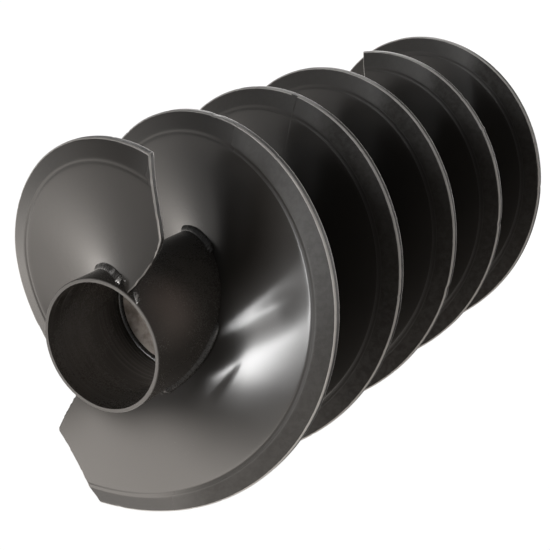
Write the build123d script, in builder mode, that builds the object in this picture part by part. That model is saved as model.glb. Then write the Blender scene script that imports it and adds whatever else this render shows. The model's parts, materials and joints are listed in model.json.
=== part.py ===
from build123d import *
from math import cos, hypot, pi, radians, sin
import os

# Two-start mixing auger, welded up from sheet steel flights on a round tube, in millimetres.
# The tube's axis is +Y, with the middle of its open mouth at the origin. Angles turn about the
# axis from +X towards +Z. Each flight moves along +Y as its angle grows: a left-handed screw.

# ---- driving dimensions ----
auger_radius = 100.0
sheet = 4.0
lead = 150.0
tube_radius = 35.0
tube_wall = 2.5
tube_length = 460.0
shaft_radius = 17.5

# ---- flights: a flat web that leans, with its outer band bent back ----
start_a = 60.0
start_b = start_a + 180.0
blank_turn = 380.6
turned_a = 2 * blank_turn
turned_b = 1080.0
first_rim_y = 6.6
root_lean = 6.5
crease_lean = 3.4
crease_radius = 0.894 * auger_radius
bend_radius = 6.0
spare_turn = 5.0
fit_gap = 0.05
root_radius = tube_radius + fit_gap

# ---- the cut at the front of each flight, as radius and degrees past the flight's start ----
edge_a = {"root": (33.0, 1.0), "bulge": (55.3, -3.9), "corner": (70.0, -1.7), "rim": (104.0, 17.6)}
edge_b = {"root": (33.0, 0.2), "bulge": (49.6, -0.8), "corner": (62.0, -0.6), "rim": (104.0, 21.2)}
edge_clear = 10.0
edge_depth = 40.0
cut_turn = -20.0
cut_outer = 1.3 * auger_radius
cut_inner = 0.5 * tube_radius

# ---- welds ----
seam_turn = 1.2
seam_cap = 0.5
seam_root = tube_radius + 4.5
weld_leg = 3.0
weld_every = 120.0
weld_run = 64.0
first_weld = {"a_front": 11.0, "a_rear": 75.0, "b_front": 60.0, "b_rear": 15.0}

# ---- mouth end ----
tube_bore = tube_radius - tube_wall
mouth_chamfer = 0.4
mouth_bore = tube_bore + 0.5
mouth_bore_depth = 56.0
bulkhead_y = 60.0
bulkhead_thickness = 5.0
bulkhead_gap = 0.2

# ---- drive hub in the far end of the tube ----
hub_length = 80.0
hub_gap = 0.1
hub_land = 22.0
hub_waist_radius = 29.5
hub_boss_radius = 28.0
hub_boss = 4.0
hub_end = tube_length - hub_boss
hub_start = hub_end - hub_length
bore_chamfer = 1.5
keyway_width = 10.0
keyway_depth = 3.3

# ---- what holds the hub in the tube and the shaft in the hub ----
plug_radius = 5.0
plug_angles = (0.0, 90.0, 180.0, 270.0)
plug_y = hub_end - hub_land / 2
plug_crown = 0.4
screw_y = hub_start + hub_land / 2
screw_radius = 4.0
screw_gap = 0.05
screw_length = 10.0
screw_hole_radius = 4.8
screw_tips = {0.0: shaft_radius + keyway_depth + 0.2, 270.0: shaft_radius + 0.2}
socket_radius = 2.3
socket_depth = 4.5

end_view = Plane(origin=(0, 0, 0), x_dir=(1, 0, 0), z_dir=(0, -1, 0))


def polar(radius, angle):
    """The end view's point at this radius and angle."""
    return (radius * cos(radians(angle)), radius * sin(radians(angle)))


def cross_section(y):
    """The plane across the tube at y, facing +Y."""
    return Plane(origin=(0, y, 0), x_dir=(1, 0, 0), z_dir=(0, 1, 0))


def screw_plane(angle, y):
    """The cross section at y, turned so that its X axis points at the angle."""
    x, z = polar(1, angle)
    return Plane(origin=(0, y, 0), x_dir=(x, 0, z), z_dir=(0, 1, 0))


def half_section(angle, y=0):
    """The plane through the axis whose X axis is the radius at the angle and Y axis is +Y."""
    x, z = polar(1, angle)
    return Plane(origin=(0, y, 0), x_dir=(x, 0, z), z_dir=(-z, 0, x))


def outward_plane(angle, y):
    """The plane on the axis at y that faces outwards at the angle."""
    x, z = polar(1, angle)
    return Plane(origin=(0, y, 0), x_dir=(0, 1, 0), z_dir=(x, 0, z))


def rim_y(turned):
    """The y of a rim's front edge where its flight has turned this far from its start."""
    return first_rim_y + lead * turned / 360


def along_axis(thickness, radius):
    """The length along the axis of a thickness that is square to the helix at this radius."""
    return thickness * hypot(1, lead / (2 * pi * radius))


def web_y(radius, side):
    """The y of the flat web's front or rear face at this radius, from the rim's front edge."""
    root_y, crease_y = -root_lean, -crease_lean
    if side == "rear":
        root_y += along_axis(sheet, tube_radius)
        crease_y += along_axis(sheet, crease_radius)
    return root_y + (crease_y - root_y) * (radius - tube_radius) / (crease_radius - tube_radius)


def sheet_outline(root, cap):
    """The sheet's section from the root radius to the rim, thicker by the cap on each face."""
    front = [(root, web_y(root, "front")), (crease_radius, -crease_lean), (auger_radius, 0)]
    rear = [
        (auger_radius, along_axis(sheet, auger_radius)),
        (crease_radius, web_y(crease_radius, "rear")),
        (root, web_y(root, "rear")),
    ]
    return [(x, y - cap) for x, y in front] + [(x, y + cap) for x, y in rear]


def helix_path(start, turned, turn):
    """The helix on the tube's surface that starts where the flight has turned this far."""
    plane = screw_plane(start + turned, rim_y(turned))
    return plane.location * Helix(lead, lead * turn / 360, tube_radius, lefthand=True)


def flight_section(start, turned, end_turned, edge=None, root=root_radius, cap=0.0):
    """The sheet swept along its helix between two turns, with its leading edge cut if it has one."""
    with BuildPart() as section:
        with BuildSketch(half_section(start + turned, rim_y(turned))) as outline:
            with BuildLine():
                Polyline(*sheet_outline(root, cap), close=True)
            make_face()
            fillet(outline.vertices().group_by(Axis.X)[1], radius=bend_radius)
        sweep(path=helix_path(start, turned, end_turned - turned), is_frenet=True)
        if edge:
            points = {name: polar(radius, start + past) for name, (radius, past) in edge.items()}
            outside = polar(cut_outer, start + cut_turn)
            inside = polar(cut_inner, start + cut_turn)
            with BuildSketch(end_view.offset(edge_clear)):
                with BuildLine():
                    ThreePointArc(points["root"], points["bulge"], points["corner"])
                    Polyline(points["corner"], points["rim"], outside, inside, points["root"])
                make_face()
            extrude(amount=-edge_depth, mode=Mode.SUBTRACT)
    return section


def seam_weld(start, turned):
    """The butt weld across a flight, centred where two ring blanks meet."""
    half = seam_turn / 2
    return flight_section(start, turned - half, turned + half, root=seam_root, cap=seam_cap)


def root_welds(start, end_turned, side, first):
    """Short fillet welds in the corner between the tube and one face of a flight."""
    away = -1 if side == "front" else 1
    corner = (root_radius, web_y(root_radius, side))
    toe = (tube_radius + weld_leg, web_y(tube_radius + weld_leg, side))
    foot = (root_radius, corner[1] + away * along_axis(weld_leg, tube_radius))
    with BuildPart() as welds:
        turned = first
        while turned + weld_run < end_turned:
            with BuildSketch(half_section(start + turned, rim_y(turned))):
                with BuildLine():
                    Polyline(corner, toe, foot, close=True)
                make_face()
            sweep(path=helix_path(start, turned, weld_run), is_frenet=True)
            turned += weld_every
    return welds


def ring_weld(face_y, away):
    """A fillet weld round the inside of the tube, on a face at y, towards the tube's open end."""
    outline = [
        (tube_bore, face_y),
        (tube_bore - weld_leg, face_y),
        (tube_bore, face_y + away * weld_leg),
    ]
    with BuildPart() as ring:
        with BuildSketch(half_section(0)):
            with BuildLine():
                Polyline(*outline, close=True)
            make_face()
        revolve(axis=Axis.Y)
    return ring


# ---- centre tube ----
with BuildPart() as centre_tube:
    with BuildSketch(cross_section(0)):
        Circle(tube_radius)
        Circle(tube_bore, mode=Mode.SUBTRACT)
    extrude(amount=tube_length)
    with BuildSketch(cross_section(0)):
        Circle(mouth_bore)
    extrude(amount=mouth_bore_depth, mode=Mode.SUBTRACT)
    rims = centre_tube.edges().filter_by(GeomType.CIRCLE).group_by(SortBy.RADIUS)[-1]
    chamfer(rims, length=mouth_chamfer)
    for angle in plug_angles:
        with BuildSketch(outward_plane(angle, plug_y)):
            Circle(plug_radius)
        extrude(amount=auger_radius, mode=Mode.SUBTRACT)
    for angle in screw_tips:
        with BuildSketch(outward_plane(angle, screw_y)):
            Circle(screw_hole_radius)
        extrude(amount=auger_radius, mode=Mode.SUBTRACT)

# ---- bulkhead that closes the tube behind its mouth ----
with BuildPart() as mouth_bulkhead:
    with BuildSketch(cross_section(bulkhead_y)):
        Circle(tube_bore - bulkhead_gap)
    extrude(amount=bulkhead_thickness)

bulkhead_ring_weld = ring_weld(bulkhead_y, -1)

# ---- keyed drive hub with two lands that centre it and a boss level with the tube's end ----
with BuildPart() as drive_hub:
    land_radius = tube_bore - hub_gap
    hub_outline = [
        (shaft_radius, hub_start),
        (land_radius, hub_start),
        (land_radius, hub_start + hub_land),
        (hub_waist_radius, hub_start + hub_land),
        (hub_waist_radius, hub_end - hub_land),
        (land_radius, hub_end - hub_land),
        (land_radius, hub_end),
        (hub_boss_radius, hub_end),
        (hub_boss_radius, tube_length),
        (shaft_radius, tube_length),
    ]
    with BuildSketch(half_section(0)):
        with BuildLine():
            Polyline(*hub_outline, close=True)
        make_face()
    revolve(axis=Axis.Y)
    bore_rims = drive_hub.edges().filter_by(GeomType.CIRCLE).group_by(SortBy.RADIUS)[0]
    chamfer(bore_rims, length=bore_chamfer)
    keyway_reach = shaft_radius + keyway_depth
    with BuildSketch(cross_section(hub_start)):
        with Locations((keyway_reach / 2, 0)):
            Rectangle(keyway_reach, keyway_width)
    extrude(amount=hub_length + hub_boss, mode=Mode.SUBTRACT)
    for angle in screw_tips:
        with BuildSketch(outward_plane(angle, screw_y)):
            Circle(screw_radius)
        extrude(amount=auger_radius, mode=Mode.SUBTRACT)

hub_ring_weld = ring_weld(hub_end, 1)

# ---- plug welds that fill the tube's holes over the hub ----
with BuildPart() as hub_plug_welds:
    for angle in plug_angles:
        with BuildSketch(outward_plane(angle, plug_y)):
            Circle(plug_radius)
        extrude(amount=auger_radius)
    with BuildSketch(cross_section(plug_y - 2 * plug_radius)):
        Circle(tube_radius + plug_crown)
        Circle(land_radius, mode=Mode.SUBTRACT)
    extrude(amount=4 * plug_radius, mode=Mode.INTERSECT)

# ---- set screws: one bears on the key and one on the shaft ----
with BuildPart() as hub_set_screws:
    for angle, tip in screw_tips.items():
        with BuildSketch(outward_plane(angle, screw_y).offset(tip)):
            Circle(screw_radius - screw_gap)
        extrude(amount=screw_length)
        with BuildSketch(outward_plane(angle, screw_y).offset(tip + screw_length)):
            RegularPolygon(socket_radius, 6)
        extrude(amount=-socket_depth, mode=Mode.SUBTRACT)

# ---- flights: ring blanks with a gap for the butt weld between them ----
gap = seam_turn / 2
first_seam = blank_turn
second_seam = 2 * blank_turn

pieces = {
    "centre_tube": centre_tube,
    "mouth_bulkhead": mouth_bulkhead,
    "bulkhead_ring_weld": bulkhead_ring_weld,
    "drive_hub": drive_hub,
    "hub_ring_weld": hub_ring_weld,
    "hub_plug_welds": hub_plug_welds,
    "hub_set_screws": hub_set_screws,
    "flight_a_first_section": flight_section(start_a, -spare_turn, first_seam - gap, edge_a),
    "flight_a_last_section": flight_section(start_a, first_seam + gap, turned_a),
    "flight_b_first_section": flight_section(start_b, -spare_turn, first_seam - gap, edge_b),
    "flight_b_middle_section": flight_section(start_b, first_seam + gap, second_seam - gap),
    "flight_b_last_section": flight_section(start_b, second_seam + gap, turned_b),
    "flight_a_seam_weld": seam_weld(start_a, first_seam),
    "flight_b_first_seam_weld": seam_weld(start_b, first_seam),
    "flight_b_second_seam_weld": seam_weld(start_b, second_seam),
    "flight_a_front_root_welds": root_welds(start_a, turned_a, "front", first_weld["a_front"]),
    "flight_a_rear_root_welds": root_welds(start_a, turned_a, "rear", first_weld["a_rear"]),
    "flight_b_front_root_welds": root_welds(start_b, turned_b, "front", first_weld["b_front"]),
    "flight_b_rear_root_welds": root_welds(start_b, turned_b, "rear", first_weld["b_rear"]),
}

os.makedirs("parts", exist_ok=True)
for name, piece in pieces.items():
    piece.part.label = name
    export_step(piece.part, f"parts/{name}.step")
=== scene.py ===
import json
from math import atan2, cos, degrees, exp, hypot, log, pi, radians, sin, sqrt

import bmesh
import bpy
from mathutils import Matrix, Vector, noise


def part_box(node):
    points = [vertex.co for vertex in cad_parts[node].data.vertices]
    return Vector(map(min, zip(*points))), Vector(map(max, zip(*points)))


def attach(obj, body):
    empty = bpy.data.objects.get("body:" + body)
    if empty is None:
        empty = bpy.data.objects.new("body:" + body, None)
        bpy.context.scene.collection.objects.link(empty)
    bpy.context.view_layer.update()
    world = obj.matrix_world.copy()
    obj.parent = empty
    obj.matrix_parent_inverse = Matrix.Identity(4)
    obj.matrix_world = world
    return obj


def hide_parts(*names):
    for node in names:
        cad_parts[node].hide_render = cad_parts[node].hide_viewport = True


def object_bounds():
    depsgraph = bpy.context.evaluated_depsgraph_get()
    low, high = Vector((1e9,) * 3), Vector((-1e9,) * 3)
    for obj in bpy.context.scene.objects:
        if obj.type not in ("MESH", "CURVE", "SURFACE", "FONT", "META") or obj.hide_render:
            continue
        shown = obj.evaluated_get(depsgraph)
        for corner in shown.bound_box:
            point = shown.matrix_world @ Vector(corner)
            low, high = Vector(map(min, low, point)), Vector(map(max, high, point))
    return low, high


# A two-start mixing auger of welded sheet steel, lying on a pale floor. Lengths are in metres. The
# tube's axis is +Y and its mouth is at the origin. Angles turn from +X towards +Z, in degrees.

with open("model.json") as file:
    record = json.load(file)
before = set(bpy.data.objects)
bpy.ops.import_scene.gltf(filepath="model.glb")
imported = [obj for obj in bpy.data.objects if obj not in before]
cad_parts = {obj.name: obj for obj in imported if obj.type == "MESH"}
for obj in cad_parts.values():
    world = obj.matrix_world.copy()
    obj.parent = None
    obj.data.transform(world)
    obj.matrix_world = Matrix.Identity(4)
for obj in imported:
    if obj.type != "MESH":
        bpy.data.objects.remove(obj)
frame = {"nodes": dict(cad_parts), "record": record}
cad_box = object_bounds()
mounts = {mount["name"]: mount for mount in frame["record"]["mounts"]}
MM = 0.001

# ---- driving dimensions ----
AUGER_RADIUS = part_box("flight_b_middle_section")[1].x
TUBE_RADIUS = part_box("centre_tube")[1].x
SOCKET_RADIUS = mounts["tube_socket"]["dims"]["r_mm"] * MM
SOCKET_DEPTH = mounts["tube_socket"]["dims"]["length_mm"] * MM
SHEET = 0.04 * AUGER_RADIUS
LEAD = 1.5 * AUGER_RADIUS

# ---- the screw: where each flight starts and how far it turns ----
START_A = 60.0
START_B = START_A + 180.0
BLANK_TURN = 380.6
TURNED_A = 2 * BLANK_TURN
TURNED_B = 1080.0
HALF_SEAM = 0.6
RIM_AT_START = 0.066 * AUGER_RADIUS

# ---- the sheet's section: how far its root and its bend stand in front of its rim, and the groove
# along the bend ----
ROOT_LEAN = 0.065 * AUGER_RADIUS
BEND_LEAN = 0.034 * AUGER_RADIUS
BEND_RADIUS = 0.894 * AUGER_RADIUS
BEND_SOFTNESS = 0.4 * MM
GROOVE_DEPTH = 0.26 * MM
GROOVE_HALF_WIDTH = 1.1 * MM
GROOVE_RADIUS = BEND_RADIUS - 0.8 * MM
ROOT_GAP = 0.05 * MM

# ---- how far the rolled sheet stands out of its true shape: (size of each wave, height) ----
SLOW_WAVES = (0.45 * AUGER_RADIUS, 0.40 * MM)
SHORT_WAVES = (0.16 * AUGER_RADIUS, 0.06 * MM)
COARSE_BURR = (5.5 * MM, 0.45 * MM)
FINE_BURR = (2.2 * MM, 0.35 * MM)

# ---- each flight's leading edge: (share of the auger's radius, degrees past the start) ----
EDGE_A = {"root": (0.33, 1.0), "bulge": (0.553, -3.9), "corner": (0.70, -1.7), "rim": (1.04, 17.6)}
EDGE_B = {"root": (0.33, 0.2), "bulge": (0.496, -0.8), "corner": (0.62, -0.6), "rim": (1.04, 21.2)}

# ---- how finely the sheet is divided, what rounds its edges, and how worn each turn of them is ----
COLUMN_TURN = 1.0
WEB_ROWS = 34
BEND_ROWS = 18
BAND_ROWS = 5
BEND_REACH = 2.7 * MM
EDGE_RADIUS = 0.7 * MM
EDGE_SUPPORT = 0.5 * MM
EDGE_WEAR = {0: 0.8, 30: 1.0, 60: 1.0, 90: 0.8}
SHEET_SHARP_ANGLE = 40

# ---- a cut edge is rubbed least near the tube, and fully from a share of the radius outwards ----
RUBBED_FROM, RUBBED_OVER, LEAST_RUBBED = 0.5, 0.2, 0.3

# ---- the sheared rims: how far they fall short, how far that wanders, and their nicks. The last
# value is the place in the noise that gives a second wave, unlike the first ----
RIM_SHORT = 0.08 * MM
RIM_WANDER = 0.08 * MM
WANDER_TURN = 9.0
NICK_TURN = 1.6
NICK_FROM = 0.40
NICK_DEPTH = 1.2 * MM
OTHER_NOISE = 5.0

# ---- dents in the rims, and one burr: degrees past the flight's start, depth and half-width ----
RIM_DENTS = {
    START_A: ((138.5, 1.3 * MM, 1.6 * MM), (662.5, 0.8 * MM, 1.5 * MM), (697.0, -0.6 * MM, 1.2 * MM)),
    START_B: ((205.0, 0.5 * MM, 2.5 * MM), (471.0, 0.7 * MM, 1.6 * MM)),
}

# ---- buckles that welding heat left in flight B: radius share and angle at both ends, half-width
# on the left and on the right of that line, how far past its ends the buckle runs out, and depth
# away from the mouth. One is felt only within BUCKLE_NEAR degrees of it ----
BUCKLE_NEAR = 60.0
BUCKLES = {
    START_B: (
        ((0.36, 345.0), (0.67, 371.0), 7.0 * MM, 9.5 * MM, 15.0 * MM, 1.20 * MM),
        ((0.525, 341.0), (0.518, 326.0), 1.5 * MM, 7.0 * MM, 6.0 * MM, -0.30 * MM),
    ),
}

# ---- root welds: in degrees of turn, how often they come, how far they and the tack under flight A's
# leading edge run, and where each row starts. Then their size, and how it wanders ----
WELD_EVERY = 120.0
WELD_RUN = 64.0
TACK_RUN = 11.0
FIRST_WELD = {"a_front": 11.0, "a_rear": 75.0, "b_front": 60.0, "b_rear": 15.0}
WELD_LEG = 2.6 * MM
WELD_SINK = 0.5 * MM
WELD_COLUMN = 0.4 * MM
WELD_STEPS = 8
LEG_WOBBLE = 0.08
WOBBLE_LENGTH = 4 * MM
BEAD_SHARP_ANGLE = 60

# ---- a bead's skin, as shares of its leg, and its two ends. Each hump is its distance from the end,
# its half-width and its height. Then where the crater is bare, and how far rubbing has gone ----
RIPPLE = 1.3 * MM
RIPPLE_HEIGHT = 0.09
RIPPLE_SHARPNESS = 1.6
RIPPLE_LEAN = 0.55
SKIN_BOW = 0.06
SKIN_ROUNDNESS = 1.35
LEAST_FULL = 0.02
NOSE_LENGTH = 7 * MM
TAIL_LENGTH = 2.2 * MM
NOSE_BLOB = (7 * MM, 2.5 * MM, 0.08)
CRATER_LIP = (4.6 * MM, 1.3 * MM, 0.25)
CRATER_DISH = (2.4 * MM, 1.0 * MM, 0.30)
BARE_CRATER = (2.6 * MM, 1.5 * MM)
BRUSHED_BEAD = 0.42
BRUSHED_TACK = 0.46

# ---- ring welds in the tube, and seam welds ground almost flush ----
RING_WELD_LEG = 2.0 * MM
RING_WELD_SINK = 0.4 * MM
RING_WOBBLE = 3
SEAM_HALF_WIDTH = 2.4 * MM
SEAM_CAP = 0.055 * MM
SEAM_FLATNESS = 8
SEAM_SHARP_ANGLE = 2
SEAM_POINTS = [i / 4 for i in range(-4, 5)]
SEAM_SINK = 0.05 * MM
SEAM_ROOT = TUBE_RADIUS + 4.5 * MM
SEAM_END = AUGER_RADIUS - 0.2 * MM


# ======================== geometry helpers ========================


def at(radius, angle, y):
    """The point at this radius and angle about the tube's axis."""
    return Vector((radius * cos(radians(angle)), y, radius * sin(radians(angle))))


def rim_y(turned):
    """The y of a rim's front edge where its flight has turned this far from its start."""
    return RIM_AT_START + LEAD * turned / 360


def along_axis(thickness, radius):
    """The length along the axis of a thickness that is square to the helix at this radius."""
    return thickness * hypot(1, LEAD / (2 * pi * radius))


def bell(away, half_width):
    """A smooth hump: 1 where away is 0, and fading over the half-width on both sides."""
    return exp(-((away / half_width) ** 2))


def front_y(radius):
    """The y of a flight's front face at this radius, from the rim's front edge."""
    web_slope = (ROOT_LEAN - BEND_LEAN) / (BEND_RADIUS - TUBE_RADIUS)
    band_slope = BEND_LEAN / (AUGER_RADIUS - BEND_RADIUS)
    past_bend = (radius - BEND_RADIUS) / BEND_SOFTNESS
    bent = BEND_SOFTNESS * log(1 + exp(past_bend))
    groove = GROOVE_DEPTH * bell(radius - GROOVE_RADIUS, GROOVE_HALF_WIDTH)
    return -BEND_LEAN + web_slope * (radius - BEND_RADIUS) + (band_slope - web_slope) * bent + groove


def face_y(radius, side):
    """The y of a flight's front or rear face at this radius, from the rim's front edge."""
    return front_y(radius) + (along_axis(SHEET, radius) if side == "rear" else 0)


def waviness(radius, angle, y):
    """How far a rolled sheet stands out of its true screw surface here, along the axis."""
    reach = (radius - TUBE_RADIUS) / (AUGER_RADIUS - TUBE_RADIUS)
    waves = (height * noise.noise(at(radius, angle, y) / size) for size, height in (SLOW_WAVES, SHORT_WAVES))
    return reach * sum(waves)


def new_piece(name, mesh, node_names, material):
    """Makes a piece that rides on the auger and stands for these CAD nodes."""
    piece = bpy.data.objects.new(name, mesh)
    bpy.context.scene.collection.objects.link(piece)
    mesh.materials.append(material)
    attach(piece, "root")
    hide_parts(*node_names)


def ring_grid(name, columns, closed_loop=False, wear=None):
    """A mesh from rings of points, joined one to the next, with both ends capped or joined."""
    count = len(columns[0])
    quads = []
    last = len(columns) if closed_loop else len(columns) - 1
    for step in range(last):
        here, there = step * count, (step + 1) % len(columns) * count
        for i in range(count):
            j = (i + 1) % count
            quads.append((here + i, here + j, there + j, there + i))
    if not closed_loop:
        for base in (0, (len(columns) - 1) * count):
            for i in range(count // 2 - 1):
                quads.append((base + i, base + i + 1, base + count - 2 - i, base + count - 1 - i))
    mesh = bpy.data.meshes.new(name)
    mesh.from_pydata([point for column in columns for point in column], [], quads)
    if wear:
        attribute = mesh.attributes.new("wear", "FLOAT", "POINT")
        attribute.data.foreach_set("value", [value for column in wear for value in column])
    return mesh


def joined(name, meshes, sharp_angle):
    """One mesh of several, with outward normals, smooth but for edges sharper than the angle."""
    shell = bmesh.new()
    for mesh in meshes:
        shell.from_mesh(mesh)
    bmesh.ops.recalc_face_normals(shell, faces=shell.faces)
    whole = bpy.data.meshes.new(name)
    shell.to_mesh(whole)
    shell.free()
    whole.shade_smooth()
    whole.set_sharp_from_angle(angle=radians(sharp_angle))
    return whole


# ======================== material helpers ========================


def add(tree, kind, inputs=None, **settings):
    """Adds a shader node with these settings, and sets or links each named input."""
    made = tree.nodes.new(kind)
    for name, value in settings.items():
        setattr(made, name, value)
    for socket, value in (inputs or {}).items():
        if isinstance(value, bpy.types.NodeSocket):
            tree.links.new(value, made.inputs[socket])
        else:
            made.inputs[socket].default_value = value
    return made


def math(tree, operation, a, b=0.0):
    """One Math node's result."""
    return add(tree, "ShaderNodeMath", {0: a, 1: b}, operation=operation).outputs[0]


def times(tree, a, b):
    """The product of two values."""
    return math(tree, "MULTIPLY", a, b)


def plus(tree, a, b):
    """The sum of two values."""
    return math(tree, "ADD", a, b)


def place(tree):
    """The position on the object, in metres."""
    return add(tree, "ShaderNodeTexCoord").outputs["Object"]


def clouds(tree, vector, scale=1.0, detail=3.0, roughness=0.55):
    """A noise value from 0 to 1, with this many cells to each unit of the vector."""
    inputs = {"Vector": vector, "Scale": scale, "Detail": detail, "Roughness": roughness}
    return add(tree, "ShaderNodeTexNoise", inputs).outputs["Fac"]


def ramp(tree, value, low, high, out_low=0.0, out_high=1.0):
    """The value taken from one range to another, with soft ends."""
    inputs = {"Value": value, "From Min": low, "From Max": high, "To Min": out_low, "To Max": out_high}
    return add(tree, "ShaderNodeMapRange", inputs, interpolation_type="SMOOTHSTEP").outputs[0]


def spread(tree, cloud, low=0.0, high=1.0):
    """A noise value taken from the range that it mostly covers, 0.3 to 0.7, to another."""
    return ramp(tree, cloud, 0.3, 0.7, low, high)


def mix(tree, share, a, b):
    """A colour between two."""
    inputs = {"Factor": share, "A": a, "B": b}
    node = tree.nodes.new("ShaderNodeMix")
    node.data_type = "RGBA"
    for name, value in inputs.items():
        sockets = [s for s in node.inputs if s.name == name and s.enabled]
        if isinstance(value, bpy.types.NodeSocket):
            tree.links.new(value, sockets[0])
        else:
            sockets[0].default_value = value
    return [s for s in node.outputs if s.enabled][0]


def grey(level, warmth=0.0):
    """An RGBA grey, a little redder and less blue with warmth."""
    return (level * (1 + warmth), level, level * (1 - warmth), 1.0)


def bump(tree, height, distance, normal=None):
    """A normal that follows a height from 0 to 1 that stands for this many metres."""
    inputs = {"Height": height, "Distance": distance}
    if normal:
        inputs["Normal"] = normal
    return add(tree, "ShaderNodeBump", inputs).outputs["Normal"]


def new_material(name, uniform):
    """A material with these values on its shader, and its shader and node tree."""
    material = bpy.data.materials.new(name)
    material.use_nodes = True
    tree = material.node_tree
    shader = tree.nodes["Principled BSDF"]
    for socket, value in uniform.items():
        shader.inputs[socket].default_value = value
    return material, tree, shader


def drive(tree, shader, links):
    """Links each named input of the shader."""
    for socket, value in links.items():
        tree.links.new(value, shader.inputs[socket])


def split(tree, vector):
    """A vector's x, y and z."""
    return add(tree, "ShaderNodeSeparateXYZ", {0: vector}).outputs


def axis_radius(tree, vector):
    """The distance from the tube's axis, in metres."""
    x, _, z = split(tree, vector)
    return math(tree, "SQRT", plus(tree, times(tree, x, x), times(tree, z, z)))


def around(tree, vector):
    """Coordinates that run round the axis, out from it and along it, for streaks that follow a turn."""
    x, y, z = split(tree, vector)
    turn = math(tree, "ARCTAN2", z, x)
    return add(tree, "ShaderNodeCombineXYZ", {0: turn, 1: axis_radius(tree, vector), 2: y}).outputs[0]


def stretched(tree, vector, scale):
    """Coordinates scaled along each of their three directions."""
    return add(tree, "ShaderNodeMapping", {"Vector": vector, "Scale": scale}).outputs[0]


# ======================== materials ========================

FILM = {"IOR": 1.5, "Metallic": 0.0, "Coat Weight": 0.3, "Coat Roughness": 0.5}
FILM_COLOURS = (grey(0.007, 0.14), grey(0.016, 0.12))
SPECK = grey(0.06, 0.05)
RUBBED_STEEL = grey(0.32, 0.04)
TUBE_COLOURS = (grey(0.012, 0.18), grey(0.034, 0.14))
# painted reflection: the warm sheen of the lit flight, painted onto the tube as colour
PAINTED_SHEEN = (0.100, 0.080, 0.070, 1.0)
TOOL_MARKS = grey(0.065, 0.08)
END_FACE = grey(0.06, 0.05)
PLATE_COLOURS = ((0.20, 0.17, 0.145, 1.0), (0.42, 0.37, 0.33, 1.0))
WELD_COLOURS = (grey(0.010, 0.12), grey(0.028, 0.08))
BARE_WELD = grey(0.60, 0.03)
HUB_COLOURS = (grey(0.20, 0.04), grey(0.36, 0.03))
OXIDE_COLOURS = (grey(0.012), grey(0.20))

# ---- noise scales round the axis, out from it and along it ----
ROLLING_STREAKS = (2.5, 420.0, 30.0)
TUBE_STREAKS = (5.0, 60.0, 25.0)
SOCKET_RINGS = (0.15, 0.0, 900.0)
HUB_RINGS = (0.2, 2600.0, 2600.0)

# ---- where the flights' outer bands are scoured dull: x, and y of the turns near the mouth. The far ----
# turns' bands are dulled further as painted shade ----
SCOURED_FROM, SCOURED_TO = 0.10 * AUGER_RADIUS, 0.50 * AUGER_RADIUS
NEAR_TURNS_END, FAR_TURNS_START = 0.9 * AUGER_RADIUS, 1.3 * AUGER_RADIUS
# painted shade: the far turns' bands are dulled as if scoured, standing in for the shadow beside the auger
FAR_BAND_PAINTED_SHADE = 0.5
PLAIN_SHINE = 0.5
# the far turns lose more shine than the near ones; the difference is painted shade
LOST_SHINE_NEAR, LOST_SHINE_FAR_WITH_PAINTED_SHADE, LOST_SHINE_GROOVE = 0.26, 0.42, 0.35

# ---- where a warm brown sheen is painted on the tube: a painted reflection of the lit flight beside it ----
PAINTED_SHEEN_SPOT = at(TUBE_RADIUS, 35.0, 0.19 * AUGER_RADIUS)
PAINTED_SHEEN_REACH = 27 * MM


def worn_edge(tree, spot):
    """Where rubbing has gone through the film, from 0 to 1, with a ragged limit."""
    worn = add(tree, "ShaderNodeAttribute", attribute_name="wear").outputs["Fac"]
    ragged = times(tree, math(tree, "SUBTRACT", clouds(tree, spot, scale=260.0), 0.5), 0.5)
    return ramp(tree, plus(tree, worn, ragged), 0.42, 0.62)


def scoured_and_shaded_parts(tree, spot):
    """How scoured the outer band is, the groove at the bend, and the far turns' band on the right; on the
    far turns part of it is painted shade.
    """
    side = ramp(tree, split(tree, spot)[0], SCOURED_FROM, SCOURED_TO)
    near_mouth = ramp(tree, split(tree, spot)[1], FAR_TURNS_START, NEAR_TURNS_END)
    far = math(tree, "SUBTRACT", 1.0, near_mouth)
    scour_and_painted_shade = math(tree, "MAXIMUM", side, times(tree, far, FAR_BAND_PAINTED_SHADE))
    radius = axis_radius(tree, spot)
    band = times(tree, scour_and_painted_shade, ramp(tree, radius, BEND_RADIUS, BEND_RADIUS + MM))
    from_groove = math(tree, "ABSOLUTE", math(tree, "SUBTRACT", radius, GROOVE_RADIUS))
    groove = times(tree, scour_and_painted_shade, ramp(tree, from_groove, 1.8 * MM, 0.8 * MM))
    return band, groove, near_mouth, times(tree, side, times(tree, band, far))


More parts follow.
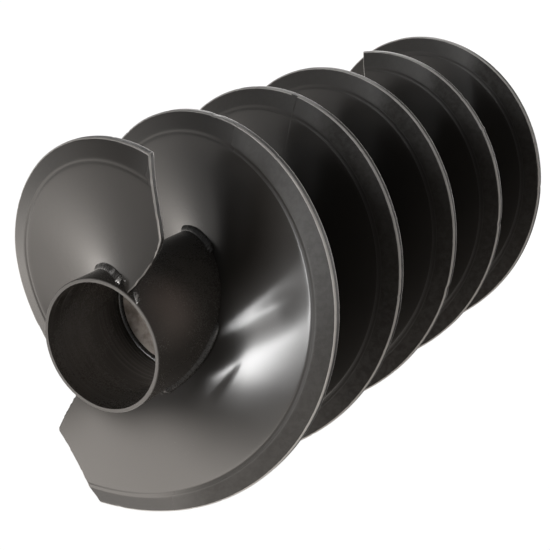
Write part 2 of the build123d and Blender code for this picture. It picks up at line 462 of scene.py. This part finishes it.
def flight_material():
    """Sheet steel under a thin dark film: cloudy, faintly streaked round the axis, scoured dull on its
    outer band and in the groove at its bend, and rubbed to bare steel at its edges. The far turns'
    bands are dulled further, with a thinner coat on the right, as painted shade."""
    material, tree, shader = new_material("dark_film_on_sheet", FILM)
    spot = place(tree)
    cloud = clouds(tree, spot, scale=14.0, detail=5.0)
    streak = clouds(tree, stretched(tree, around(tree, spot), ROLLING_STREAKS), detail=4.0)
    speck = clouds(tree, spot, scale=1500.0, detail=1.0)
    grain = clouds(tree, spot, scale=2600.0, detail=2.0)
    edge = worn_edge(tree, spot)
    band, groove, near_mouth, far_band_shade_mask = scoured_and_shaded_parts(tree, spot)

    film = mix(tree, cloud, *FILM_COLOURS)
    film = mix(tree, ramp(tree, speck, 0.78, 0.84), film, SPECK)
    rough = plus(tree, spread(tree, cloud, 0.13, 0.16), times(tree, streak, 0.03))
    for part, rougher in ((band, 0.38), (groove, 0.30), (edge, 0.18)):
        rough = plus(tree, rough, times(tree, part, rougher))

    mottle = ramp(tree, clouds(tree, spot, scale=320.0, detail=4.0, roughness=0.7), 0.35, 0.65, -0.05, 0.05)
    # the far turns' bands lose more shine, as painted shade
    dulled = plus(tree, ramp(tree, near_mouth, 0.0, 1.0, LOST_SHINE_FAR_WITH_PAINTED_SHADE, LOST_SHINE_NEAR), mottle)
    lost = math(tree, "MAXIMUM", times(tree, band, dulled), times(tree, groove, LOST_SHINE_GROOVE))
    lift = bump(tree, grain, 0.010 * MM)
    links = {
        "Base Color": mix(tree, edge, film, RUBBED_STEEL),
        "Roughness": rough,
        "Specular IOR Level": math(tree, "SUBTRACT", PLAIN_SHINE, lost),
        "Metallic": times(tree, edge, 0.6),
        # painted shade: the far turns' band on the right gets a thinner coat
        "Coat Weight": ramp(tree, far_band_shade_mask, 0.0, 1.0, FILM["Coat Weight"], 0.08),
        "Normal": bump(tree, streak, 0.006 * MM, normal=lift),
    }
    drive(tree, shader, links)
    return material


def tube_material():
    """Round tube under the same film, darker, with a brown patch in one place that is a painted reflection
    of the lit flight beside it, with turned rings in its socket and a cleaner end face."""
    material, tree, shader = new_material("dark_film_on_tube", FILM)
    spot = place(tree)
    radius, y = axis_radius(tree, spot), split(tree, spot)[1]
    coarse = clouds(tree, spot, scale=22.0, detail=5.0)
    fine = clouds(tree, spot, scale=1200.0, detail=3.0)
    cloud = plus(tree, times(tree, coarse, 0.6), times(tree, fine, 0.4))
    streak = clouds(tree, stretched(tree, around(tree, spot), TUBE_STREAKS), detail=4.0)
    rings = clouds(tree, stretched(tree, around(tree, spot), SOCKET_RINGS), detail=2.0)
    inside = math(tree, "LESS_THAN", radius, (TUBE_RADIUS + SOCKET_RADIUS) / 2)
    turned = times(tree, inside, ramp(tree, y, SOCKET_DEPTH, SOCKET_DEPTH - 2 * MM))
    end_face = ramp(tree, y, 0.35 * MM, 0.1 * MM)
    # a soft patch round one spot, where a painted reflection of the flight's highlight browns the tube
    away = add(tree, "ShaderNodeVectorMath", {0: spot, 1: PAINTED_SHEEN_SPOT}, operation="DISTANCE").outputs["Value"]
    painted_sheen_mask = times(tree, ramp(tree, away, PAINTED_SHEEN_REACH, 0.0), ramp(tree, cloud, 0.2, 0.6, 0.6, 1.0))

    film = mix(tree, spread(tree, cloud), *TUBE_COLOURS)
    # the painted reflection mixed into the film's colour
    film = mix(tree, painted_sheen_mask, film, PAINTED_SHEEN)
    film = mix(tree, times(tree, turned, ramp(tree, rings, 0.45, 0.70)), film, TOOL_MARKS)
    lift = bump(tree, times(tree, turned, rings), 0.12 * MM)
    links = {
        "Base Color": mix(tree, end_face, film, END_FACE),
        "Roughness": plus(tree, spread(tree, cloud, 0.22, 0.30), times(tree, end_face, 0.1)),
        "Metallic": times(tree, end_face, 0.3),
        "Normal": bump(tree, streak, 0.01 * MM, normal=lift),
    }
    drive(tree, shader, links)
    return material


def bulkhead_material():
    """Unpainted plate inside the tube: matt, brownish and mottled with old mortar dust."""
    material, tree, shader = new_material("dull_plate", {"IOR": 1.45})
    spot = place(tree)
    mottle = clouds(tree, spot, scale=180.0, detail=5.0)
    crust = clouds(tree, spot, scale=900.0, detail=3.0)
    links = {
        "Base Color": mix(tree, ramp(tree, mottle, 0.35, 0.65), *PLATE_COLOURS),
        "Roughness": spread(tree, crust, 0.50, 0.75),
        "Normal": bump(tree, crust, 0.08 * MM),
    }
    drive(tree, shader, links)
    return material


def weld_material():
    """Weld metal under dark oxide, flecked, and bright where it is brushed or its crater is bare."""
    material, tree, shader = new_material("weld_bead", {"IOR": 1.55})
    spot = place(tree)
    patch = clouds(tree, spot, scale=90.0, detail=4.0)
    fleck = clouds(tree, spot, scale=1300.0, detail=2.0)
    bare = worn_edge(tree, spot)
    links = {
        "Base Color": mix(tree, bare, mix(tree, patch, *WELD_COLOURS), BARE_WELD),
        "Roughness": plus(tree, spread(tree, fleck, 0.22, 0.36), times(tree, bare, -0.04)),
        "Metallic": times(tree, bare, 0.9),
        "Normal": bump(tree, fleck, 0.02 * MM),
    }
    drive(tree, shader, links)
    return material


def machined_material():
    """Turned steel with fine rings round the axis and a thin film of oil."""
    oiled = {"Metallic": 1.0, "Coat Weight": 0.25, "Coat Roughness": 0.15}
    material, tree, shader = new_material("turned_steel", oiled)
    spot = place(tree)
    patch = clouds(tree, spot, scale=60.0, detail=4.0)
    rings = clouds(tree, stretched(tree, around(tree, spot), HUB_RINGS), detail=2.0)
    links = {
        "Base Color": mix(tree, patch, *HUB_COLOURS),
        "Roughness": spread(tree, rings, 0.26, 0.40),
        "Normal": bump(tree, rings, 0.02 * MM),
    }
    drive(tree, shader, links)
    return material


def screw_material():
    """Black oxide, thin enough to show steel in its small rubbed patches."""
    material, tree, shader = new_material("black_oxide", {"IOR": 1.5})
    spot = place(tree)
    rub = ramp(tree, clouds(tree, spot, scale=500.0), 0.62, 0.72)
    links = {
        "Base Color": mix(tree, rub, *OXIDE_COLOURS),
        "Roughness": spread(tree, clouds(tree, spot, scale=900.0), 0.25, 0.4),
        "Metallic": times(tree, rub, 0.7),
    }
    drive(tree, shader, links)
    return material


SHEET_FILM = flight_material()
TUBE_FILM = tube_material()
PLATE = bulkhead_material()
WELD = weld_material()
TURNED = machined_material()
OXIDE = screw_material()


# ======================== flights ========================


def parabola(points, x):
    """The parabola through three points, at x."""
    total = 0.0
    for i, (xi, yi) in enumerate(points):
        term = yi
        for j, (xj, _) in enumerate(points):
            if i != j:
                term *= (x - xj) / (xi - xj)
        total += term
    return total


def edge_turn(edge, radius):
    """Degrees past a flight's start at which its sheet begins at this radius."""
    points = {name: (share * AUGER_RADIUS, turn) for name, (share, turn) in edge.items()}
    if radius < points["corner"][0]:
        return parabola([points["root"], points["bulge"], points["corner"]], radius)
    x1, z1 = (points["corner"][0] * f(radians(points["corner"][1])) for f in (cos, sin))
    x2, z2 = (points["rim"][0] * f(radians(points["rim"][1])) for f in (cos, sin))
    dx, dz = x2 - x1, z2 - z1
    a, b, c = dx * dx + dz * dz, x1 * dx + z1 * dz, x1 * x1 + z1 * z1 - radius * radius
    share = (sqrt(b * b - a * c) - b) / a
    return degrees(atan2(z1 + share * dz, x1 + share * dx))


def sheet_outline():
    """Points round the sheet's section, as (radius, side, step in from that face, wear)."""
    root = TUBE_RADIUS + ROOT_GAP
    bend = BEND_RADIUS - BEND_REACH
    band = BEND_RADIUS + BEND_REACH
    end = AUGER_RADIUS - EDGE_RADIUS - EDGE_SUPPORT
    rows = [root + (bend - root) * i / WEB_ROWS for i in range(WEB_ROWS)]
    rows += [bend + (band - bend) * i / BEND_ROWS for i in range(BEND_ROWS)]
    rows += [band + (end - band) * i / BAND_ROWS for i in range(BAND_ROWS + 1)]
    front = [(radius, "front", 0.0, 0.0) for radius in rows]
    for turn, worn in EDGE_WEAR.items():
        out = EDGE_RADIUS * (1 - sin(radians(turn)))
        inward = EDGE_RADIUS * (1 - cos(radians(turn)))
        front.append((AUGER_RADIUS - out, "front", inward, worn))
    front.append((AUGER_RADIUS, "front", EDGE_RADIUS + EDGE_SUPPORT, 0.0))
    rear = [(radius, "rear", inward, worn) for radius, _, inward, worn in reversed(front)]
    return front + rear


def burr(start, radius):
    """How far a torch-cut leading edge stands back from its true line at this radius, as a length."""
    coarse = noise.noise((radius / COARSE_BURR[0], start, 0.0))
    fine = noise.noise((radius / FINE_BURR[0], start, OTHER_NOISE))
    return COARSE_BURR[1] * coarse + FINE_BURR[1] * fine


def rim_flaw(start, turned):
    """How far a sheared rim falls short of its true radius here: a slow wander, nicks and dents."""
    wander = noise.noise((turned / WANDER_TURN, start, 0.0))
    nick = max(0.0, noise.noise((turned / NICK_TURN, start, OTHER_NOISE)) - NICK_FROM)
    flaw = RIM_SHORT + RIM_WANDER * wander + NICK_DEPTH * nick
    for dent_turned, depth, half_width in RIM_DENTS[start]:
        flaw += depth * bell(radians(turned - dent_turned) * AUGER_RADIUS, half_width)
    return flaw


def buckle(start, radius, angle):
    """How far the buckles of a flight push it away from the mouth here."""
    x, z = radius * cos(radians(angle)), radius * sin(radians(angle))
    total = 0.0
    for (share1, angle1), (share2, angle2), left, right, run_out, depth in BUCKLES.get(start, ()):
        if abs(angle - (angle1 + angle2) / 2) > BUCKLE_NEAR:
            continue
        x1, z1 = (share1 * AUGER_RADIUS * f(radians(angle1)) for f in (cos, sin))
        x2, z2 = (share2 * AUGER_RADIUS * f(radians(angle2)) for f in (cos, sin))
        length = hypot(x2 - x1, z2 - z1)
        along = ((x - x1) * (x2 - x1) + (z - z1) * (z2 - z1)) / length
        off = ((x - x1) * (z2 - z1) - (z - z1) * (x2 - x1)) / length
        off /= right if off > 0 else left
        past = max(0.0, -along, along - length) / run_out
        total += depth * exp(-off * off - past * past)
    return total


def sheet_columns(start, turned, end_turned, edge, free_ends):
    """Rings of points along a flight, each round the sheet's section, and the wear at each point."""
    outline = sheet_outline()
    count = int((end_turned - turned) / COLUMN_TURN)
    # a cut end's rounding, as (past the end, step in from the faces, wear)
    cut = [(0.0, EDGE_RADIUS + EDGE_SUPPORT, 0.0), (0.0, EDGE_RADIUS, 1.0), (EDGE_RADIUS, 0.0, 0.6)]
    stations = [(0.0, past, inset, worn * free_ends[0]) for past, inset, worn in cut]
    stations += [(step / count, 0.0, 0.0, 0.0) for step in range(1, count)]
    stations += [(1.0, -past, inset, worn * free_ends[1]) for past, inset, worn in reversed(cut)]
    columns, wear = [], []
    for share, past, inset, cut_wear in stations:
        column, worn = [], []
        for radius, side, inward, rim_wear in outline:
            first = turned
            if edge:
                first = edge_turn(edge, radius) + degrees(burr(start, radius) / radius)
            here = first + (end_turned - first) * share + degrees(past / radius)
            step_in = max(inward, inset) * (1 if side == "front" else -1)
            y = rim_y(here) + face_y(radius, side) + step_in
            y += waviness(radius, start + here, rim_y(here)) + buckle(start, radius, start + here)
            # the rim's whole rounding shares its flaws, from a hair inside it
            if radius > AUGER_RADIUS - 1.01 * EDGE_RADIUS:
                radius -= rim_flaw(start, here)
            column.append(at(radius, start + here, y))
            rubbed = min(1.0, max(LEAST_RUBBED, (radius / AUGER_RADIUS - RUBBED_FROM) / RUBBED_OVER))
            worn.append(max(cut_wear * rubbed, rim_wear) if inset < EDGE_RADIUS + EDGE_SUPPORT else 0.0)
        columns.append(column)
        wear.append(worn)
    return columns, wear


def flight_section(node, start, turned, end_turned, edge=None, free_end=False):
    """One ring blank of a flight, rolled to the screw, in place of its CAD node."""
    name = node.replace("section", "sheet")
    columns, wear = sheet_columns(start, turned, end_turned, edge, (edge is not None, free_end))
    mesh = joined(name, [ring_grid("sheet", columns, wear=wear)], SHEET_SHARP_ANGLE)
    new_piece(name, mesh, [node], SHEET_FILM)


FIRST_SEAM = (BLANK_TURN - HALF_SEAM, BLANK_TURN + HALF_SEAM)
SECOND_SEAM = (2 * BLANK_TURN - HALF_SEAM, 2 * BLANK_TURN + HALF_SEAM)
flight_section("flight_a_first_section", START_A, 0, FIRST_SEAM[0], edge=EDGE_A)
flight_section("flight_a_last_section", START_A, FIRST_SEAM[1], TURNED_A, free_end=True)
flight_section("flight_b_first_section", START_B, 0, FIRST_SEAM[0], edge=EDGE_B)
flight_section("flight_b_middle_section", START_B, FIRST_SEAM[1], SECOND_SEAM[0])
flight_section("flight_b_last_section", START_B, SECOND_SEAM[1], TURNED_B, free_end=True)


# ======================== welds ========================


def ripple(distance, lean):
    """The height of a bead's frozen ripples, from 0 to 1, where they bow back by the lean."""
    phase = (distance / RIPPLE + lean) % 1.0
    return (1 - phase) ** RIPPLE_SHARPNESS


def round_end(distance, reach):
    """How full a bead is this far from an end that is round over its reach."""
    return sqrt(max(0.0, 1 - (1 - min(distance, reach) / reach) ** 2))


def bead_ends(distance, length):
    """How full a bead is along its run: a blob at the start, then even, then a lip and a dished crater."""
    left = length - distance
    humps = ((distance, NOSE_BLOB, 1), (left, CRATER_LIP, 1), (left, CRATER_DISH, -1))
    swell = sum(sign * high * bell(here - middle, width) for here, (middle, width, high), sign in humps)
    return round_end(distance, NOSE_LENGTH) * round_end(left, TAIL_LENGTH) * (1 + swell)


def fillet_skin(leg, distance, sweep):
    """How far a fillet bead reaches from its corner along each side, at this sweep between them."""
    bow = sin(2 * sweep)
    skin = 1 + bow * (SKIN_BOW + RIPPLE_HEIGHT * (ripple(distance, RIPPLE_LEAN * bow) - 0.5))
    return leg * skin * sin(sweep) ** SKIN_ROUNDNESS, leg * skin * cos(sweep) ** SKIN_ROUNDNESS


def fillet_sweeps():
    """The sweep at each point across a fillet bead's skin."""
    return [radians(90 * i / WELD_STEPS) for i in range(WELD_STEPS + 1)]


def root_bead(start, turned, side, run=WELD_RUN, bare=0.0, brushed=0.0):
    """One short fillet bead between the tube and a face of a flight, laid towards the flight's start."""
    away = -1 if side == "front" else 1
    length = radians(run) * TUBE_RADIUS * along_axis(1, TUBE_RADIUS)
    count = int(length / WELD_COLUMN)
    columns, wear = [], []
    for step in range(count + 1):
        distance = length * (1 - step / count)
        here = turned + run * step / count
        wobble = 1 - LEG_WOBBLE + LEG_WOBBLE * noise.noise((distance / WOBBLE_LENGTH, start + turned, 0.0))
        leg = WELD_LEG * max(LEAST_FULL, bead_ends(distance, length)) * wobble
        column = []
        for sweep in fillet_sweeps():
            out, along = fillet_skin(leg, distance, sweep)
            y = rim_y(here) + face_y(TUBE_RADIUS + out, side) + away * along_axis(along, TUBE_RADIUS)
            column.append(at(TUBE_RADIUS + out, start + here, y))
        inner = rim_y(here) + face_y(TUBE_RADIUS, side) - away * WELD_SINK
        column.append(at(TUBE_RADIUS - WELD_SINK, start + here, inner))
        columns.append(column)
        bright = bare * bell(length - distance - BARE_CRATER[0], BARE_CRATER[1])
        wear.append([max(brushed, bright)] * len(column))
    return ring_grid("bead", columns, wear=wear)


def weld_piece(node, meshes, sharp_angle, material):
    """Makes the piece of these meshes that stands for a CAD node of welds."""
    name = node.replace("weld", "bead")
    new_piece(name, joined(name, meshes, sharp_angle), [node], material)


def root_beads(node, start, end_turned, side, first, in_sight=False):
    """The row of short fillet beads along one face of a flight, in place of its CAD node. A row that
    starts in sight has a brushed first bead with a bare crater, and a tack under the leading edge."""
    beads = []
    turned = first
    if in_sight:
        beads.append(root_bead(start, -TACK_RUN, "rear", run=TACK_RUN, brushed=BRUSHED_TACK))
        beads.append(root_bead(start, turned, side, bare=1.0, brushed=BRUSHED_BEAD))
        turned += WELD_EVERY
    while turned + WELD_RUN < end_turned:
        beads.append(root_bead(start, turned, side))
        turned += WELD_EVERY
    weld_piece(node, beads, BEAD_SHARP_ANGLE, WELD)


def seam_bead(node, start, turned):
    """The butt weld across a flight, ground almost flush with both faces, in place of its CAD node."""
    count = int((AUGER_RADIUS - SEAM_ROOT) / WELD_COLUMN)
    columns = []
    for step in range(count + 1):
        radius = SEAM_ROOT + (SEAM_END - SEAM_ROOT) * step / count
        column = []
        for side, away in (("front", -1), ("rear", 1)):
            for share in SEAM_POINTS if side == "front" else reversed(SEAM_POINTS):
                here = turned + degrees(share * SEAM_HALF_WIDTH / radius)
                cap = SEAM_CAP * (1 - share**SEAM_FLATNESS)
                y = rim_y(here) + face_y(radius, side) + away * (cap - SEAM_SINK)
                y += waviness(radius, start + here, rim_y(here))
                column.append(at(radius, start + here, y))
        columns.append(column)
    weld_piece(node, [ring_grid("seam", columns)], SEAM_SHARP_ANGLE, SHEET_FILM)


def ring_bead(node, radius, face, away):
    """The fillet bead round the inside of the tube against a disc's face, in place of its CAD node."""
    count = int(2 * pi * radius / WELD_COLUMN)
    columns = []
    for step in range(count):
        angle = 360 * step / count
        distance = radians(angle) * radius
        wobble = noise.noise((RING_WOBBLE * cos(radians(angle)), RING_WOBBLE * sin(radians(angle)), face))
        leg = RING_WELD_LEG * (1 - LEG_WOBBLE + LEG_WOBBLE * wobble)
        column = []
        for sweep in fillet_sweeps():
            inward, along = fillet_skin(leg, distance, sweep)
            column.append(at(radius - inward, angle, face + away * along))
        column.append(at(radius + RING_WELD_SINK, angle, face - away * RING_WELD_SINK))
        columns.append(column)
    weld_piece(node, [ring_grid("ring", columns, closed_loop=True)], BEAD_SHARP_ANGLE, WELD)


for flight, start, end_turned in (("a", START_A, TURNED_A), ("b", START_B, TURNED_B)):
    for side in ("front", "rear"):
        row = f"{flight}_{side}"
        node = f"flight_{row}_root_welds"
        root_beads(node, start, end_turned, side, FIRST_WELD[row], in_sight=row == "a_front")
seam_bead("flight_a_seam_weld", START_A, BLANK_TURN)
seam_bead("flight_b_first_seam_weld", START_B, BLANK_TURN)
seam_bead("flight_b_second_seam_weld", START_B, 2 * BLANK_TURN)

BULKHEAD_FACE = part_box("mouth_bulkhead")[0].y
HUB_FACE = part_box("hub_ring_weld")[0].y
TUBE_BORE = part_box("hub_ring_weld")[1].x
ring_bead("bulkhead_ring_weld", TUBE_BORE, BULKHEAD_FACE, -1)
ring_bead("hub_ring_weld", TUBE_BORE, HUB_FACE, 1)


# ======================== CAD nodes that keep their shape ========================

kept = {
    "centre_tube": TUBE_FILM,
    "mouth_bulkhead": PLATE,
    "drive_hub": TURNED,
    "hub_plug_welds": WELD,
    "hub_set_screws": OXIDE,
}
for node_name, material in kept.items():
    for material_slot in frame["nodes"][node_name].material_slots:
        material_slot.material = material


# ======================== floor, light and camera ========================

STAGE_RADIUS = 15.0
STAGE_STEPS = 64
CAMERA_TARGET = Vector((0.3768, 1.060, 0.1198)) * AUGER_RADIUS
CAMERA_AZIMUTH = radians(30.13)
CAMERA_ELEVATION = radians(19.08)
CAMERA_DISTANCE = 6.864 * AUGER_RADIUS
CAMERA_LENS = 82.84

# each soft panel: azimuth and elevation of its middle, half its width and half its height, how far
# its edges fade, all in degrees, its radiance and its warmth. Azimuth 0 is straight in front, +90 +X.
PANELS = {
    "key": (-17, 17, 9, 7, 4, 21.0, 0.0),
    "key_upper": (-30, 24, 5, 5, 4, 5.0, 0.02),
    "key_surround": (-18, 16, 14, 12, 6, 3.6, 0.0),
    "key_glow": (-34, 12, 14, 12, 12, 0.6, 0.0),
    "lit_floor_in_front": (-9, -30, 26, 22, 12, 4.0, 0.07),
    "lit_floor_at_left": (-90, -40, 36, 20, 12, 1.15, 0.07),
    "left_wall": (-88, -14, 38, 16, 10, 0.42, 0.05),
    "right_wall": (70, 5, 55, 30, 12, 0.25, 0.02),
    "right_light": (103, 12, 18, 16, 8, 1.8, 0.06),
    "rear_sweep": (180, 3, 30, 14, 12, 5.0, 0.02),
    "floor_below": (0, -90, 180, 32, 8, 1.6, 0.05),
}
DARK_STUDIO = 0.15


def pale_stage():
    """A wide white floor with a wall and a lid. Only the camera sees them: the panels light the object."""
    low = cad_box[0].z
    turns = [2 * pi * i / STAGE_STEPS for i in range(STAGE_STEPS)]
    bottom = [(STAGE_RADIUS * cos(turn), STAGE_RADIUS * sin(turn), low) for turn in turns]
    top = [(x, y, low + STAGE_RADIUS) for x, y, _ in bottom]
    joins = [(i, (i + 1) % STAGE_STEPS) for i in range(STAGE_STEPS)]
    walls = [(i, j, j + STAGE_STEPS, i + STAGE_STEPS) for i, j in joins]
    outlines = {
        "floor": (bottom, [tuple(range(STAGE_STEPS))]),
        "backdrop": (bottom + top, walls + [tuple(range(STAGE_STEPS, 2 * STAGE_STEPS))]),
    }
    white, _, shader = new_material("white_sweep", {"Base Color": grey(0.0), "Roughness": 1.0})
    shader.inputs["Emission Color"].default_value = grey(1.0)
    shader.inputs["Emission Strength"].default_value = 1.0
    for name, (points, faces) in outlines.items():
        mesh = bpy.data.meshes.new(name)
        mesh.from_pydata(points, [], faces)
        mesh.materials.append(white)
        piece = bpy.data.objects.new(name, mesh)
        bpy.context.scene.collection.objects.link(piece)
        piece.visible_glossy = False
        piece.visible_diffuse = False
        piece.visible_shadow = False


def studio_world():
    """A dark studio with soft white panels and lit stretches of floor."""
    world = bpy.data.worlds.new("studio")
    world.use_nodes = True
    tree = world.node_tree
    direction = add(tree, "ShaderNodeTexCoord").outputs["Generated"]
    x, y, z = split(tree, direction)
    azimuth = math(tree, "DEGREES", math(tree, "ARCTAN2", x, times(tree, y, -1.0)))
    elevation = math(tree, "DEGREES", math(tree, "ARCSINE", z))
    total = grey(DARK_STUDIO)[:3]
    for panel_azimuth, panel_elevation, half_width, half_height, fade, radiance, warmth in PANELS.values():
        turn = math(tree, "SUBTRACT", azimuth, panel_azimuth)
        turn = add(tree, "ShaderNodeMath", {0: turn, 1: 180.0, 2: -180.0}, operation="WRAP").outputs[0]
        across = ramp(tree, math(tree, "ABSOLUTE", turn), half_width + fade, half_width - fade)
        rise = math(tree, "ABSOLUTE", math(tree, "SUBTRACT", elevation, panel_elevation))
        up = ramp(tree, rise, half_height + fade, half_height - fade)
        panel = {0: grey(radiance, warmth)[:3], "Scale": times(tree, across, up)}
        light = add(tree, "ShaderNodeVectorMath", panel, operation="SCALE").outputs["Vector"]
        total = add(tree, "ShaderNodeVectorMath", {0: light, 1: total}, operation="ADD").outputs["Vector"]
    background = tree.nodes["Background"]
    tree.links.new(total, background.inputs["Color"])
    background.inputs["Strength"].default_value = 1.0
    bpy.context.scene.world = world


def view_camera():
    """The camera to the right of the mouth and a little above it, looking back along the flights."""
    camera = bpy.data.cameras.new("camera")
    camera.lens = CAMERA_LENS
    camera.sensor_width = 36.0
    camera.clip_start = 0.01
    camera.clip_end = 100.0
    holder = bpy.data.objects.new("camera", camera)
    bpy.context.scene.collection.objects.link(holder)
    flat = cos(CAMERA_ELEVATION)
    back = Vector((sin(CAMERA_AZIMUTH) * flat, -cos(CAMERA_AZIMUTH) * flat, sin(CAMERA_ELEVATION)))
    holder.location = CAMERA_TARGET + back * CAMERA_DISTANCE
    holder.rotation_mode = "QUATERNION"
    holder.rotation_quaternion = back.to_track_quat("Z", "Y")
    bpy.context.scene.camera = holder


pale_stage()
studio_world()
view_camera()
bpy.context.scene.view_settings.view_transform = "Standard"
